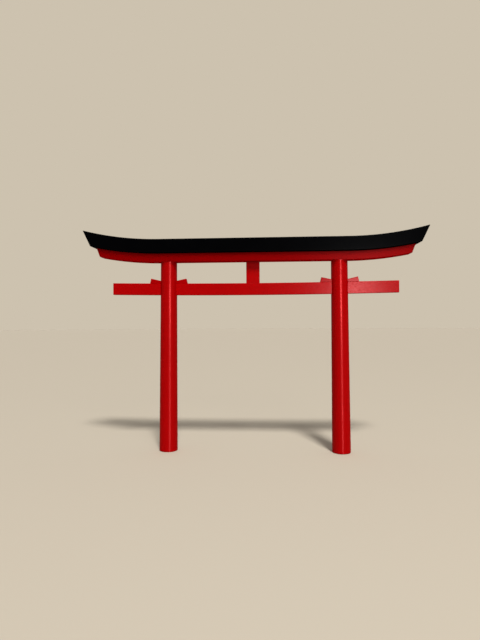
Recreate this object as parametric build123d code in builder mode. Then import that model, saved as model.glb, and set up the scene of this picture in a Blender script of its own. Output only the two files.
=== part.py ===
"""Desk-top torii gate, printed in plastic as separate pieces and pushed together.

Millimetres. +X runs along the lintels, +Y to the back, +Z up. The origin is on the floor, midway
between the two pillars. The gate is alike on both sides of X = 0 and of Y = 0.
"""

import os
from math import cos, radians, sin, sqrt

from build123d import *

os.makedirs("parts", exist_ok=True)

# Pillars: round, tapering, and leaning in towards the top. The spacing is between their axes on
# the floor, and the lean is how far each head stands in from its foot.
pillar_height = 169.0
pillar_spacing = 153.6
pillar_lean = 0.95
foot_diameter = 16.2
head_diameter = 14.4
foot_chamfer = 0.5

# Round tenon that stands on each pillar's head, and its socket in the lower lintel
tenon_diameter = 7.0
tenon_height = 4.0
socket_headroom = 0.3

# Tie beam, which runs through both pillars
beam_length = 252.0
beam_height = 10.0
beam_depth = 9.0

# Strut between the tie beam and the lower lintel
strut_height = 19.8
strut_width = 11.4

# Wedges, driven in over the beam from both sides of each pillar
wedge_length = 15.4
wedge_thin_end = 1.0
wedge_thick_end = 4.5
wedge_nose_to_axis = 1.0

# Both lintels: level over the gateway, then swept up on an arc to the tips. The top lintel's roof
# sweeps up faster than its underside, so it grows thicker towards the tips.
sweep_radius = 292.0
roof_radius = 270.0
level_past_pillar = 0.1

# Lower lintel: length along its top edge, and how far its ends lean out from upright
lower_length = 280.8
lower_height = 7.0
lower_depth = 14.6
lower_rake = 20.8

# Top lintel: length along its ridge, with a low gable over upright eaves
top_length = 302.8
top_depth = 25.0
eave_height = 11.7
gable_rise = 1.4
top_rake = 25.6

# Play between a piece and the hole it passes through, and the rounding of printed edges
fit = 0.1
edge_round = 0.3

# Levels and places that follow from the sizes above
beam_top = pillar_height - strut_height
beam_underside = beam_top - beam_height
joint_height = pillar_height + lower_height
eave_level = joint_height + eave_height
ridge_level = eave_level + gable_rise
level_half = pillar_spacing / 2 - pillar_lean + head_diameter / 2 + level_past_pillar
past_tip = 10.0
wedge_slope = (wedge_thick_end - wedge_thin_end) / wedge_length


def pillar_axis(height):
    """Distance of a pillar's leaning axis from X = 0 at a height above the floor."""
    return pillar_spacing / 2 - pillar_lean * height / pillar_height


def pillar_radius(height):
    """Radius of a pillar at a height above the floor."""
    return (foot_diameter + (head_diameter - foot_diameter) * height / pillar_height) / 2


def rise(x, radius):
    """How far a lintel's outline, swept to this radius, has risen at a distance x from X = 0."""
    return radius - sqrt(radius**2 - (x - level_half) ** 2)


def lintel_elevation(tip, low, high, high_radius):
    """Right half of a lintel seen from the front, running on past its tip to be cut there."""
    reach = tip + past_tip
    with BuildLine() as outline:
        under = Line((0, low), (level_half, low))
        under_rise = RadiusArc(under @ 1, (reach, low + rise(reach, sweep_radius)), -sweep_radius)
        over = Line((0, high), (level_half, high))
        over_rise = RadiusArc(over @ 1, (reach, high + rise(reach, high_radius)), -high_radius)
        Line(under_rise @ 1, over_rise @ 1)
        Line(under @ 0, over @ 0)
    return outline.edges()


def raked_end(x, z, rake):
    """Plane that cuts a lintel's right end, leaning out by rake degrees through the tip (x, z)."""
    return Plane(origin=(x, 0, z), x_dir=(0, 1, 0), z_dir=(cos(radians(rake)), 0, -sin(radians(rake))))


# Pillar, made on the right and mirrored to the left: a leaning taper with its tenon, mortised
# for the tie beam and, above it, for the wedges' thin ends
past_end = 2.0
above_head = pillar_height + past_end
lean = (pillar_axis(pillar_height) - pillar_axis(0), 0, pillar_height)
leaning_axis = Axis((pillar_axis(0), 0, 0), lean)
axis_at_beam = pillar_axis(beam_top)
mortise_reach = foot_diameter
mortise_ceiling = wedge_thin_end + wedge_slope * (mortise_reach - wedge_nose_to_axis)
over_beam = Plane.XZ.shift_origin((axis_at_beam, 0, beam_top))

with BuildPart() as right_pillar:
    with BuildSketch(Plane.XZ):
        with BuildLine():
            Polyline(
                (pillar_axis(-past_end), -past_end),
                (pillar_axis(-past_end) + pillar_radius(-past_end), -past_end),
                (pillar_axis(above_head) + pillar_radius(above_head), above_head),
                (pillar_axis(above_head), above_head),
                close=True,
            )
        make_face()
    revolve(axis=leaning_axis)
    split(bisect_by=Plane.XY, keep=Keep.TOP)
    split(bisect_by=Plane.XY.offset(pillar_height), keep=Keep.BOTTOM)
    chamfer(right_pillar.faces().sort_by(Axis.Z)[0].edges(), foot_chamfer)
    with BuildSketch(Plane.XY.offset(pillar_height)):
        with Locations((pillar_axis(pillar_height), 0)):
            Circle(tenon_diameter / 2)
    extrude(amount=tenon_height)
    with BuildSketch(over_beam):
        with BuildLine():
            Polyline(
                (-mortise_reach, -beam_height),
                (mortise_reach, -beam_height),
                (mortise_reach, mortise_ceiling),
                (wedge_nose_to_axis, wedge_thin_end),
                (-wedge_nose_to_axis, wedge_thin_end),
                (-mortise_reach, mortise_ceiling),
                close=True,
            )
        make_face()
    extrude(amount=beam_depth / 2 + fit, both=True, mode=Mode.SUBTRACT)

with BuildPart() as left_pillar:
    mirror(right_pillar.part, about=Plane.YZ)

# Tie beam: a plain bar that slides through both mortises
with BuildPart() as tie_beam:
    with BuildSketch(Plane.XY.offset(beam_underside)):
        Rectangle(beam_length, beam_depth)
    extrude(amount=beam_height)
    fillet(tie_beam.edges(), edge_round)

# Wedge on the outer side of the right pillar. Its thin nose is inside the mortise, and its thick
# end is square to its sloping top. The other three are its mirror images.
thick_end_lean = wedge_thick_end * wedge_slope
wedge_foot = wedge_nose_to_axis + wedge_length

with BuildPart() as wedge_right_outer:
    with BuildSketch(over_beam):
        with BuildLine():
            Polyline(
                (wedge_nose_to_axis, 0),
                (wedge_foot, 0),
                (wedge_foot - thick_end_lean, wedge_thick_end - thick_end_lean * wedge_slope),
                (wedge_nose_to_axis, wedge_thin_end),
                close=True,
            )
        make_face()
    extrude(amount=beam_depth / 2, both=True)
    thick_end = wedge_right_outer.faces().sort_by(Axis.X)[-1]
    fillet(thick_end.edges().sort_by(Axis.Z)[1:], edge_round)

with BuildPart() as wedge_right_inner:
    mirror(wedge_right_outer.part, about=Plane.YZ.offset(axis_at_beam))

with BuildPart() as wedge_left_outer:
    mirror(wedge_right_outer.part, about=Plane.YZ)

with BuildPart() as wedge_left_inner:
    mirror(wedge_right_inner.part, about=Plane.YZ)

# Strut: stands on the beam and carries the middle of the lower lintel, flush with the beam
with BuildPart() as centre_strut:
    with BuildSketch(Plane.XY.offset(beam_top)):
        Rectangle(strut_width, beam_depth)
    extrude(amount=strut_height)
    fillet(centre_strut.edges().filter_by(Axis.Z), edge_round)

# Lower lintel: half the bar, cut at its rake, mirrored, and bored for the pillars' tenons
lower_tip = lower_length / 2
lower_tip_level = joint_height + rise(lower_tip, sweep_radius)

with BuildPart() as lower_lintel:
    with BuildSketch(Plane.XZ):
        make_face(lintel_elevation(lower_tip, pillar_height, joint_height, sweep_radius))
    extrude(amount=lower_depth / 2, both=True)
    split(bisect_by=raked_end(lower_tip, lower_tip_level, lower_rake), keep=Keep.BOTTOM)
    mirror(about=Plane.YZ)
    fillet(lower_lintel.edges(), edge_round)
    with BuildSketch(Plane.XY.offset(pillar_height)):
        with Locations((pillar_axis(pillar_height), 0), (-pillar_axis(pillar_height), 0)):
            Circle(tenon_diameter / 2 + fit)
    extrude(amount=tenon_height + socket_headroom, mode=Mode.SUBTRACT)

# Top lintel: the sweep carried through three elevations, the eaves in front and behind and the
# ridge between them, so that its roof falls from the ridge to both eaves all along
top_tip = top_length / 2
top_tip_level = ridge_level + rise(top_tip, roof_radius)

with BuildPart() as top_lintel:
    with BuildSketch(Plane.XZ.offset(top_depth / 2)):
        make_face(lintel_elevation(top_tip, joint_height, eave_level, roof_radius))
    with BuildSketch(Plane.XZ):
        make_face(lintel_elevation(top_tip, joint_height, ridge_level, roof_radius))
    with BuildSketch(Plane.XZ.offset(-top_depth / 2)):
        make_face(lintel_elevation(top_tip, joint_height, eave_level, roof_radius))
    loft(ruled=True)
    split(bisect_by=raked_end(top_tip, top_tip_level, top_rake), keep=Keep.BOTTOM)
    mirror(about=Plane.YZ)
    fillet(top_lintel.edges(), edge_round)

pieces = {
    "left_pillar": left_pillar,
    "right_pillar": right_pillar,
    "tie_beam": tie_beam,
    "wedge_left_outer": wedge_left_outer,
    "wedge_left_inner": wedge_left_inner,
    "wedge_right_inner": wedge_right_inner,
    "wedge_right_outer": wedge_right_outer,
    "centre_strut": centre_strut,
    "lower_lintel": lower_lintel,
    "top_lintel": top_lintel,
}
for name, piece in pieces.items():
    piece.part.label = name
    export_step(piece.part, f"parts/{name}.step")
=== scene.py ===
from math import atan2, cos, pi, radians, sin, sqrt, tan

import bmesh
import bpy
from mathutils import Matrix, Vector


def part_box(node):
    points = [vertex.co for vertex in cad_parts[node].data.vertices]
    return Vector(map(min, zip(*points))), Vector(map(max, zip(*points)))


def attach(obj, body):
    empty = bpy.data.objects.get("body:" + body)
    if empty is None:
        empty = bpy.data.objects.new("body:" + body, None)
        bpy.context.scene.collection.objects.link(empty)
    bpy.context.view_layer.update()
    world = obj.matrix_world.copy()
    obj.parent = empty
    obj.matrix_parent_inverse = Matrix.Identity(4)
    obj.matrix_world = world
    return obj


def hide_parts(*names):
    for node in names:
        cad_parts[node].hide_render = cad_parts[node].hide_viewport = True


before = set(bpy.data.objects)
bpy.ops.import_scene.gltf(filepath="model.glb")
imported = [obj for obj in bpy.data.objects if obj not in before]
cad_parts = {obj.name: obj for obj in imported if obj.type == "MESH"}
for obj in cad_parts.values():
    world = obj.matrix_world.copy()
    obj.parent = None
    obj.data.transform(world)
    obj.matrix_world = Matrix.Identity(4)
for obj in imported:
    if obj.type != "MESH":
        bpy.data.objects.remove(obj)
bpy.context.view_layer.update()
scene = bpy.context.scene
scene.view_settings.view_transform = "Standard"

# --- Pillars ---------------------------------------------------------------------------------
# Two round tapering posts of red PLA that lean in a little, each printed standing up. The tie
# beam slides through a mortise in each, and a tenon on each head goes up into the lower lintel.
MM = 0.001
pillar_spacing, pillar_lean = 153.6 * MM, 0.95 * MM
foot_radius, head_radius, foot_chamfer = 8.1 * MM, 7.2 * MM, 0.5 * MM
lower_height = 7.35 * MM
joint_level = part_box("top_lintel")[0].z
head_level = joint_level - lower_height
tenon_radius, tenon_top = 3.5 * MM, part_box("left_pillar")[1].z
seam_height, seam_side, seam_half = 0.12 * MM, radians(75), radians(1)
SIDES = {"left": -1, "right": 1}

# The mortises are cut to the beam and the wedges, so the sizes of those come here. Beam, wedges
# and strut are all one plank thick from front to back
plank_half = 2.0 * MM
beam_left, beam_right = -126.6 * MM, 127.2 * MM
beam_height, beam_bow = 10.5 * MM, 1.15 * MM
beam_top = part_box("centre_strut")[0].z
beam_underside = beam_top - beam_height
wedge_length, wedge_thin, wedge_thick = 15.9 * MM, 1.0 * MM, 4.6 * MM
wedge_slope = (wedge_thick - wedge_thin) / wedge_length
nose_to_axis = 1.0 * MM
mortise_play = 0.1 * MM


def bow(x):
    """How far the bent tie beam has risen at a distance x from its middle."""
    return beam_bow * (x / beam_right) ** 2


def to_linear(hex_colour):
    """Linear RGBA of an sRGB hex colour."""
    channels = [int(hex_colour[i : i + 2], 16) / 255 for i in (1, 3, 5)]
    return [c / 12.92 if c <= 0.04045 else ((c + 0.055) / 1.055) ** 2.4 for c in channels] + [1.0]


def add_node(tree, kind, output, inputs, **settings):
    """Adds a node with its settings, and returns one of its outputs. Each input takes a value, or
    the socket that feeds it."""
    node = tree.nodes.new("ShaderNode" + kind)
    for name, value in settings.items():
        setattr(node, name, value)
    for name, value in inputs.items():
        if isinstance(value, bpy.types.NodeSocket):
            tree.links.new(value, node.inputs[name])
        else:
            node.inputs[name].default_value = value
    return node.outputs[output]


def printed_pla(name, deep, pale, stacked_along, gloss, lustre, roughness, end_shine=1.0):
    """PLA melted and laid by a nozzle, in layers that are stacked along one axis. Gloss is the
    clear skin of the melt, lustre is the sheen of its pigment, and end_shine is how much of both
    is left on the first and last layers."""
    material = bpy.data.materials.new(name)
    material.use_nodes = True
    tree = material.node_tree
    shader = tree.nodes["Principled BSDF"]
    place = add_node(tree, "TexCoord", "Object", {})
    facing = add_node(tree, "NewGeometry", "Normal", {})

    # Layers are 0.2 mm high. They are too fine to show, and each ridge stands for two of them. Its
    # sides are steep only near its foot, so a highlight has a bright middle and long tails
    ridge_pitch, ridge_tilt, ridge_foot = 0.4 * MM, 0.3, 3.0
    level = add_node(tree, "VectorMath", "Value", {0: place, 1: stacked_along},
                     operation="DOT_PRODUCT")
    turns = add_node(tree, "Math", 0, {0: level, 1: 2 * pi / ridge_pitch}, operation="MULTIPLY")
    wave = add_node(tree, "Math", 0, {0: turns}, operation="SINE")
    steep = add_node(tree, "Math", 0, {0: wave, 1: ridge_foot}, operation="POWER")
    tilt = add_node(tree, "Math", 0, {0: steep, 1: ridge_tilt}, operation="MULTIPLY")
    ridges = add_node(tree, "VectorMath", 0, {0: stacked_along, "Scale": tilt}, operation="SCALE")

    # The first and last layers close a piece with lines 0.45 mm wide, which lie aslant
    line_width, line_tilt = 0.45 * MM, 0.06
    aslant = (Vector((1, 1, 1)) - Vector(stacked_along)).normalized()
    end_on = add_node(tree, "VectorMath", "Value", {0: facing, 1: stacked_along},
                      operation="DOT_PRODUCT")
    end_on = add_node(tree, "Math", 0, {0: end_on}, operation="ABSOLUTE")
    closing = add_node(tree, "MapRange", 0, {"Value": end_on, "From Min": 0.9, "From Max": 0.99})
    across = add_node(tree, "VectorMath", "Value", {0: place, 1: aslant}, operation="DOT_PRODUCT")
    turns = add_node(tree, "Math", 0, {0: across, 1: 2 * pi / line_width}, operation="MULTIPLY")
    wave = add_node(tree, "Math", 0, {0: turns}, operation="SINE")
    tilt = add_node(tree, "Math", 0, {0: wave, 1: closing}, operation="MULTIPLY")
    tilt = add_node(tree, "Math", 0, {0: tilt, 1: line_tilt}, operation="MULTIPLY")
    lines = add_node(tree, "VectorMath", 0, {0: aslant, "Scale": tilt}, operation="SCALE")

    relief = add_node(tree, "VectorMath", 0, {0: facing, 1: ridges}, operation="ADD")
    relief = add_node(tree, "VectorMath", 0, {0: relief, 1: lines}, operation="ADD")
    relief = add_node(tree, "VectorMath", 0, {0: relief}, operation="NORMALIZE")
    tree.links.new(relief, shader.inputs["Normal"])
    tree.links.new(relief, shader.inputs["Coat Normal"])

    # The melt flows a little unevenly, so bands 3 mm high and patches 14 mm wide come out paler
    band_height, patch_width, patch_share = 3 * MM, 14 * MM, 0.4
    band = add_node(tree, "TexNoise", "Fac", {"W": level, "Scale": 1 / band_height},
                    noise_dimensions="1D")
    patch = add_node(tree, "TexNoise", "Fac", {"Vector": place, "Scale": 1 / patch_width})
    uneven = add_node(tree, "Mix", 0, {0: patch_share, 2: band, 3: patch})
    uneven = add_node(tree, "MapRange", 0, {"Value": uneven, "From Min": 0.35, "From Max": 0.65})
    colour = add_node(tree, "Mix", 2, {0: uneven, 6: to_linear(deep), 7: to_linear(pale)},
                      data_type="RGBA")
    tree.links.new(colour, shader.inputs["Base Color"])

    # A face turned down to the floor is drawn over air or a support, and comes out dull and rough
    sagged_roughness, roughness_spread = 0.8, 0.02
    upward = add_node(tree, "SeparateXYZ", "Z", {0: facing})
    held_up = add_node(tree, "MapRange", 0, {"Value": upward, "From Min": -0.7, "From Max": -0.3})
    shine = add_node(tree, "MapRange", 0, {"Value": closing, "To Min": 1.0, "To Max": end_shine})
    shine = add_node(tree, "Math", 0, {0: shine, 1: held_up}, operation="MULTIPLY")
    metallic = add_node(tree, "Math", 0, {0: shine, 1: lustre}, operation="MULTIPLY")
    coat = add_node(tree, "Math", 0, {0: shine, 1: gloss}, operation="MULTIPLY")
    rough = add_node(tree, "MapRange", 0, {"Value": band, "To Min": roughness - roughness_spread,
                                           "To Max": roughness + roughness_spread})
    rough = add_node(tree, "Mix", 0, {0: held_up, 2: sagged_roughness, 3: rough})
    tree.links.new(metallic, shader.inputs["Metallic"])
    tree.links.new(coat, shader.inputs["Coat Weight"])
    tree.links.new(rough, shader.inputs["Roughness"])

    # The skin is all of its gloss, so the shader's own reflection is off
    shader.inputs["Specular IOR Level"].default_value = 0.0
    shader.inputs["Coat Roughness"].default_value = roughness
    return material


def corners_of(geometry):
    """The vertices among what an operator has made."""
    return [g for g in geometry if isinstance(g, bmesh.types.BMVert)]


def edges_of(geometry):
    """The edges among what an operator has made."""
    return [g for g in geometry if isinstance(g, bmesh.types.BMEdge)]


def whole(faces):
    """Faces with their edges and corners, as a cut needs them, in an order that never changes."""
    corners = dict.fromkeys(v for f in faces for v in f.verts)
    edges = dict.fromkeys(e for f in faces for e in f.edges)
    return [*corners, *edges, *faces]


def cut(bm, faces, point, normal, drop_outside=False):
    """Cuts faces along a plane. Returns the cut's edges."""
    made = bmesh.ops.bisect_plane(bm, geom=whole(faces), dist=1e-7, plane_co=point,
                                  plane_no=normal, clear_outer=drop_outside)
    return edges_of(made["geom_cut"])


def round_over(bm, edges, width, segments=3):
    """Rounds a mesh's edges, or chamfers them where there is one segment."""
    bmesh.ops.bevel(bm, geom=edges, offset=width, segments=segments, profile=0.5, affect="EDGES",
                    material=-1)


def make_piece(name, bm, material):
    """Closes a piece's mesh and stands it in the scene, with flat faces left flat."""
    bmesh.ops.remove_doubles(bm, verts=bm.verts, dist=0.001 * MM)
    bmesh.ops.recalc_face_normals(bm, faces=bm.faces)
    mesh = bpy.data.meshes.new(name)
    bm.to_mesh(mesh)
    bm.free()
    mesh.shade_smooth()
    mesh.set_sharp_from_angle(angle=radians(40))
    mesh.materials.append(material)
    piece = bpy.data.objects.new(name, mesh)
    scene.collection.objects.link(piece)
    piece.modifiers.new("flat_faces", "WEIGHTED_NORMAL").keep_sharp = True
    return piece


# Levels of the mortise's floor, of its ceiling over the wedges' noses, and of its mouths' tops
lift = bow(pillar_spacing / 2 - pillar_lean)
mortise_half = plank_half + mortise_play
mortise_floor = beam_underside + lift - mortise_play
nose_level = beam_top + lift + wedge_thin + mortise_play
mouth_top = nose_level + wedge_slope * (foot_radius - nose_to_axis)


def girdle(bm):
    """The faces round an upright post at the level of its mortise."""
    return [f for f in bm.faces if abs(f.normal.z) < 0.5
            and mortise_floor < f.calc_center_median().z < mouth_top]


def mouth(bm, way):
    """Those of them in which the mortise comes out on one side."""
    found = []
    for face in girdle(bm):
        middle = face.calc_center_median()
        if middle.x * way > 0 and abs(middle.y) < mortise_half:
            found.append(face)
    return found


def cut_mortise(bm):
    """Cuts the outlines of both mouths round an upright post, and joins them through it. The top
    edge of each mouth has the slope of the wedge that goes in under it."""
    for level in (mortise_floor, mouth_top):
        cut(bm, list(bm.faces), (0, 0, level), (0, 0, 1))
    for y in (-mortise_half, mortise_half):
        cut(bm, girdle(bm), (0, y, 0), (0, 1, 0))
    rims = []
    for way in (-1, 1):
        cut(bm, mouth(bm, way), (way * nose_to_axis, 0, nose_level), (-way * wedge_slope, 0, 1))
        opening = []
        for face in mouth(bm, way):
            middle = face.calc_center_median()
            if middle.z < nose_level + wedge_slope * (middle.x * way - nose_to_axis):
                opening.append(face)
        edges = dict.fromkeys(e for f in opening for e in f.edges)
        rims += [e for e in edges if sum(f in opening for f in e.link_faces) == 1]
        bmesh.ops.delete(bm, geom=opening, context="FACES")
    bmesh.ops.bridge_loops(bm, edges=rims)


# Red PLA extruded ring on ring up the post: the ridges draw a lamp out into a narrow streak that
# runs up it, and the rest stays a deep, even red
red_upright = printed_pla("red_pla_printed_upright", "#ae0002", "#b20003", (0, 0, 1),
                          gloss=0.085, lustre=0.06, roughness=0.235)
for side, way in SIDES.items():
    bm = bmesh.new()
    bmesh.ops.create_cone(bm, cap_ends=True, segments=96, radius1=foot_radius,
                          radius2=head_radius, depth=head_level,
                          matrix=Matrix.Translation((0, 0, head_level / 2)))
    foot = min(bm.faces, key=lambda f: f.calc_center_median().z)
    round_over(bm, list(foot.edges), foot_chamfer, segments=1)
    head = max(bm.faces, key=lambda f: f.calc_center_median().z)
    bmesh.ops.inset_region(bm, faces=[head], thickness=head_radius - tenon_radius)
    lifted = bmesh.ops.extrude_face_region(bm, geom=[head])["geom"]
    bmesh.ops.translate(bm, vec=(0, 0, tenon_top - head_level), verts=corners_of(lifted))
    bmesh.ops.delete(bm, geom=[head], context="FACES")
    cut_mortise(bm)

    # Seam: where each layer starts and ends, one line up the back stands proud
    for v in bm.verts:
        off_seam = abs(atan2(v.co.y, v.co.x) - seam_side)
        if off_seam < seam_half and v.co.xy.length > 1.5 * tenon_radius:
            v.co.xy *= 1 + seam_height / v.co.xy.length
    lean = Matrix.Identity(4)
    lean[0][2] = -way * pillar_lean / head_level
    stand = Matrix.Translation((way * pillar_spacing / 2, 0, 0))
    bmesh.ops.transform(bm, matrix=stand @ lean, verts=bm.verts)
    pillar = make_piece(f"printed_{side}_pillar", bm, red_upright)
    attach(pillar, "root")
    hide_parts(f"{side}_pillar")

# --- Tie beam --------------------------------------------------------------------------------
# A square-edged bar of red PLA, printed lying down and pushed through both pillars. It has bent
# a little, so that its ends stand higher than its middle.
edge_round = 0.3 * MM
beam_stations = 16


def make_bar(low, high, rounded):
    """A square bar between two corners, with its edges rounded along the axes that are given."""
    bm = bmesh.new()
    size = Matrix.Diagonal((high - low).to_4d())
    bmesh.ops.create_cube(bm, size=1.0, matrix=Matrix.Translation((low + high) / 2) @ size)
    edges = []
    for edge in bm.edges:
        along = (edge.verts[1].co - edge.verts[0].co).normalized()
        if any(abs(along[axis]) > 0.9 for axis in rounded):
            edges.append(edge)
    round_over(bm, edges, edge_round)
    return bm


# The same red PLA laid flat: its layers are fine lines along the bar, and its front takes a soft
# pink sheen where it faces the lamp
red_lying = printed_pla("red_pla_printed_lying_down", "#b00002", "#b40003", (0, 0, 1),
                        gloss=0.065, lustre=0.0125, roughness=0.24)
bm = make_bar(Vector((beam_left, -plank_half, beam_underside)),
              Vector((beam_right, plank_half, beam_top)), rounded=(0, 1, 2))
for i in range(1, beam_stations):
    station = beam_left + (beam_right - beam_left) * i / beam_stations
    cut(bm, list(bm.faces), (station, 0, 0), (1, 0, 0))
for v in bm.verts:
    v.co.z += bow(v.co.x)
beam = make_piece("printed_tie_beam", bm, red_lying)
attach(beam, "root")
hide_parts("tie_beam")

# --- Wedges ----------------------------------------------------------------------------------
# Four small keys of red PLA, printed on their sides. They are driven in over the beam from both
# sides of each pillar, and hold it by friction. Each thick end is square to its sloping top.
lean_back = wedge_thick * wedge_slope

# The same red PLA in small pieces: their fronts are a last layer, so they look a little deeper
# and duller than the beam
red_on_side = printed_pla("red_pla_printed_on_its_side", "#a80002", "#ac0003", (0, 1, 0),
                          gloss=0.044, lustre=0.0085, roughness=0.245)
for side, way in SIDES.items():
    for place, away in (("inner", -way), ("outer", way)):
        low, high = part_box(f"wedge_{side}_{place}")
        nose = low.x if away > 0 else high.x
        butt = nose + away * wedge_length
        outline = [(nose, low.z), (butt, low.z),
                   (butt - away * lean_back, low.z + wedge_thick - lean_back * wedge_slope),
                   (nose, low.z + wedge_thin)]
        bm = bmesh.new()
        corners = [bm.verts.new((x, -plank_half, z + bow(x))) for x, z in outline]
        front = bmesh.ops.contextual_create(bm, geom=corners)["faces"]
        pulled = bmesh.ops.extrude_face_region(bm, geom=front)["geom"]
        bmesh.ops.translate(bm, vec=(0, 2 * plank_half, 0), verts=corners_of(pulled))
        outside = [e for e in bm.edges
                   if any(abs(v.co.x - nose) > wedge_length / 2 for v in e.verts)]
        round_over(bm, outside, edge_round)
        wedge = make_piece(f"printed_wedge_{side}_{place}", bm, red_on_side)
        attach(wedge, "root")
        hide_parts(f"wedge_{side}_{place}")

# --- Strut -----------------------------------------------------------------------------------
# A short block of red PLA, printed lying down as the beam is. It stands on the middle of the beam,
# reaches a little further to the left than to the right, and carries the lower lintel.
left_extra = 0.4 * MM
strut_low, strut_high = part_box("centre_strut")
bm = make_bar(Vector((strut_low.x - left_extra, -plank_half, strut_low.z)),
              Vector((strut_high.x, plank_half, head_level)), rounded=(2,))
strut = make_piece("printed_centre_strut", bm, red_lying)
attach(strut, "root")
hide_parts("centre_strut")

# --- Lower lintel ----------------------------------------------------------------------------
# A bar of red PLA, printed on its back so that the nozzle draws its sweep. It is level between
# the pillars and turns up on an arc beyond them, and its ends lean outwards.
sweep_radius = 292.0 * MM
past_pillar, past_tip = 0.1 * MM, 10 * MM
level_half = pillar_spacing / 2 - pillar_lean + head_radius + past_pillar
lower_depth, lower_tip, lower_rake = 12.4 * MM, 140.4 * MM, radians(20.8)
socket_radius, headroom = 3.6 * MM, 0.3 * MM
socket_depth = tenon_top - head_level + headroom
corner_round, sweep_stations = 0.35 * MM, 24


def rise(x, radius):
    """How far an outline swept to this radius has risen at a distance x from the middle."""
    past = max(0.0, abs(x) - level_half)
    return radius - sqrt(radius**2 - past**2)


def make_lintel(depth, underside, eaves, ridge, roof_radius, tip, rake):
    """A bar bent up at both ends and cut off at a rake. Where its ridge is above its eaves, a line
    along the middle of its top is raised."""
    bm = bmesh.new()
    reach = tip + past_tip
    size = Matrix.Diagonal((2 * reach, depth, eaves - underside, 1))
    middle = Matrix.Translation((0, 0, (underside + eaves) / 2))
    bmesh.ops.create_cube(bm, size=1.0, matrix=middle @ size)
    if ridge > eaves:
        cut(bm, list(bm.faces), (0, 0, 0), (0, 1, 0))
    for way in (-1, 1):
        for i in range(sweep_stations):
            station = way * (level_half + (reach - level_half) * i / sweep_stations)
            cut(bm, list(bm.faces), (station, 0, 0), (1, 0, 0))
    for v in bm.verts:
        on_roof = v.co.z > (underside + eaves) / 2
        if on_roof and abs(v.co.y) < depth / 4:
            v.co.z = ridge
        v.co.z += rise(v.co.x, roof_radius if on_roof else sweep_radius)
    for way in (-1, 1):
        point = (way * tip, 0, ridge + rise(tip, roof_radius))
        outwards = (way * cos(rake), 0, -sin(rake))
        open_end = cut(bm, list(bm.faces), point, outwards, drop_outside=True)
        bmesh.ops.contextual_create(bm, geom=open_end)

    # The ends' edges across the bar are rounded first, a sharp one further back than a blunt one,
    # and then its outlines, front and back
    for way in (-1, 1):
        for above in (-1, 1):
            end = max(bm.faces, key=lambda f: way * f.normal.x)
            across = []
            for edge in end.edges:
                along = (edge.verts[1].co - edge.verts[0].co).normalized()
                height = edge.verts[0].co.z - end.calc_center_median().z
                if abs(along.y) > 0.9 and above * height > 0:
                    across.append(edge)
            turn = across[0].calc_face_angle()
            round_over(bm, across, corner_round * tan(turn / 2), segments=4)
    outlines = [e for e in bm.edges if sum(abs(f.normal.y) > 0.9 for f in e.link_faces) == 1]
    round_over(bm, outlines, edge_round)
    return bm


bm = make_lintel(lower_depth, head_level, joint_level, joint_level, sweep_radius, lower_tip,
                 lower_rake)

# Sockets for the pillars' tenons: the underside is filled again round two circles, whose edges
# are then pulled up into the bar and closed
underside = max((f for f in bm.faces if f.normal.z < -0.99), key=lambda f: f.calc_area())
rim = list(underside.edges)
bmesh.ops.delete(bm, geom=[underside], context="FACES_ONLY")
sockets = []
for way in SIDES.values():
    under_tenon = Matrix.Translation((way * (pillar_spacing / 2 - pillar_lean), 0, head_level))
    circle = bmesh.ops.create_circle(bm, cap_ends=False, segments=48, radius=socket_radius,
                                     matrix=under_tenon)["verts"]
    sockets.append(list(dict.fromkeys(e for v in circle for e in v.link_edges)))
bmesh.ops.triangle_fill(bm, use_beauty=True, use_dissolve=False, edges=rim + sum(sockets, []))
for socket in sockets:
    walls = bmesh.ops.extrude_edge_only(bm, edges=socket)["geom"]
    bmesh.ops.translate(bm, vec=(0, 0, socket_depth), verts=corners_of(walls))
    bmesh.ops.contextual_create(bm, geom=edges_of(walls))

# The same red PLA seen on its last layer, whose slanting lines scatter the lamps: a flat red with
# no sheen on its front, and a little on its ends and top
# Its base colour is painted paler than the other pieces' red: painted light on its shaded front
red_painted_paler_on_back = printed_pla("red_pla_printed_on_its_back_painted_paler", "#c60003", "#ca0004", (0, 1, 0),
                          gloss=0.1, lustre=0.05, roughness=0.3, end_shine=0.1)
lower = make_piece("printed_lower_lintel", bm, red_painted_paler_on_back)
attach(lower, "root")
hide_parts("lower_lintel")

# --- Top lintel ------------------------------------------------------------------------------
# The same sweep in black PLA, deeper and thicker, with a low gabled roof that thickens towards
# the tips. It too is printed on its back, and it rests on the lower lintel.
top_depth, top_tip, top_rake = 25.0 * MM, 151.4 * MM, radians(25.6)
eave_level, ridge_level = joint_level + 11.9 * MM, joint_level + 13.1 * MM
roof_radius = 270.0 * MM

# Black PLA extruded in lines along the sweep: its front, a last layer, is a matt black, and its
# roof and ends show the ridges in a soft grey sheen
black_on_back = printed_pla("black_pla_printed_on_its_back", "#030304", "#050506", (0, 1, 0),
                            gloss=0.2, lustre=0.0, roughness=0.28, end_shine=0.04)
bm = make_lintel(top_depth, joint_level, eave_level, ridge_level, roof_radius, top_tip, top_rake)
top = make_piece("printed_top_lintel", bm, black_on_back)
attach(top, "root")
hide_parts("top_lintel")

# --- Studio ----------------------------------------------------------------------------------
# A wide floor of matt paint that runs out to a pale backdrop, under air that lights the gate
# softly, more from behind than from the front.


def seen_by_camera(tree):
    """1 where the camera sees a surface, also in a reflection or through glass, and 0 where the
    surface only throws light on the gate."""
    ray = add_node(tree, "LightPath", 0, {}).node.outputs
    seen = add_node(tree, "Math", 0, {0: ray["Is Camera Ray"], 1: ray["Is Glossy Ray"]},
                    operation="ADD")
    return add_node(tree, "Math", 0, {0: seen, 1: ray["Is Transmission Ray"]}, operation="ADD",
                    use_clamp=True)


bm = bmesh.new()
bmesh.ops.create_circle(bm, cap_ends=True, segments=64, radius=12.0)
mesh = bpy.data.meshes.new("studio_floor")
bm.to_mesh(mesh)
bm.free()
floor = bpy.data.objects.new("studio_floor", mesh)
scene.collection.objects.link(floor)

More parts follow.
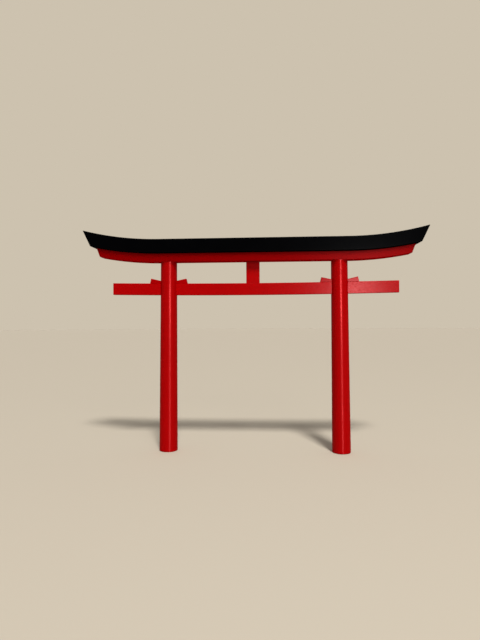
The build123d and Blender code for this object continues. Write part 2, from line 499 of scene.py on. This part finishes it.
# Matt wall paint, rolled on: a pale sand colour with hardly any gloss. It throws back less light
# than it shows, so that the undersides stay dark
paint = bpy.data.materials.new("matt_floor_paint")
paint.use_nodes = True
tree = paint.node_tree
shader = tree.nodes["Principled BSDF"]
colour = add_node(tree, "Mix", 2, {0: seen_by_camera(tree), 6: to_linear("#807a6e"),
                                   7: to_linear("#bdb2a0")}, data_type="RGBA")
tree.links.new(colour, shader.inputs["Base Color"])
shader.inputs["Roughness"].default_value = 0.9
shader.inputs["Specular IOR Level"].default_value = 0.1
mesh.materials.append(paint)

world = bpy.data.worlds.new("studio_air")
scene.world = world
world.use_nodes = True
tree = world.node_tree
air = tree.nodes["Background"]
air.inputs["Color"].default_value = to_linear("#ffffff")
towards = add_node(tree, "TexCoord", "Generated", {})
behind = add_node(tree, "SeparateXYZ", "Y", {0: towards})
strength = add_node(tree, "MapRange", 0, {"Value": behind, "From Min": -0.1, "From Max": 0.1,
                                          "To Min": 0.28, "To Max": 0.44})
tree.links.new(strength, air.inputs["Strength"])
backdrop = add_node(tree, "Background", 0, {"Color": to_linear("#cdc2af"), "Strength": 1.0})
both = add_node(tree, "MixShader", 0, {0: seen_by_camera(tree), 1: air.outputs[0], 2: backdrop})
tree.links.new(both, tree.nodes["World Output"].inputs["Surface"])


def hang_lamp(lamp, place, target):
    """Hangs a lamp out of the camera's sight, and turns it to shine at a point."""
    hung = bpy.data.objects.new(lamp.name, lamp)
    hung.location = place
    hung.rotation_euler = (Vector(target) - Vector(place)).to_track_quat("-Z", "Y").to_euler()
    hung.visible_camera = False
    scene.collection.objects.link(hung)
    return hung


# High lamp on the right of the front, small enough for its shadows to keep an edge
high_elevation, high_bearing = radians(56), radians(16)
high = bpy.data.lights.new("high", "SUN")
high.energy = 3.05
high.angle = radians(10)
high_lamp = bpy.data.objects.new("high", high)
high_lamp.rotation_euler = (pi / 2 - high_elevation, 0, high_bearing)
scene.collection.objects.link(high_lamp)

# Broad soft lamp, nearer and lower, which shines in under the lintels
broad = bpy.data.lights.new("broad", "AREA")
broad.shape = "DISK"
broad.size = 0.5
broad.energy = 1.8
hang_lamp(broad, place=(0.30, -0.80, 0.50), target=(0, 0, 0.12))

# Small lamp beside the camera, narrowed to the gate, which only draws the streak up each pillar
streak = bpy.data.lights.new("streak", "SPOT")
streak.energy = 13
streak.shadow_soft_size = 8 * MM
streak.spot_size = radians(46)
streak.spot_blend = 0.6
streak_lamp = hang_lamp(streak, place=(0.175, -0.50, 0.165), target=(0, 0, 0.15))
streak_lamp.visible_diffuse = False

# --- Camera ----------------------------------------------------------------------------------
# A wide lens held upright, low in front of the gate and a little to the right of its middle. It
# looks almost level.
yaw, pitch, roll = 0.06484, 0.00894, -0.0047
camera = bpy.data.objects.new("camera", bpy.data.cameras.new("camera"))
camera.data.sensor_width = 36
camera.data.lens = 27.06
camera.data.clip_start = 0.01
camera.matrix_world = (
    Matrix.Translation((0.01583, -0.4283, 0.11265))
    @ Matrix.Rotation(yaw, 4, "Z")
    @ Matrix.Rotation(pi / 2 + pitch, 4, "X")
    @ Matrix.Rotation(roll, 4, "Z")
)
scene.collection.objects.link(camera)
scene.camera = camera
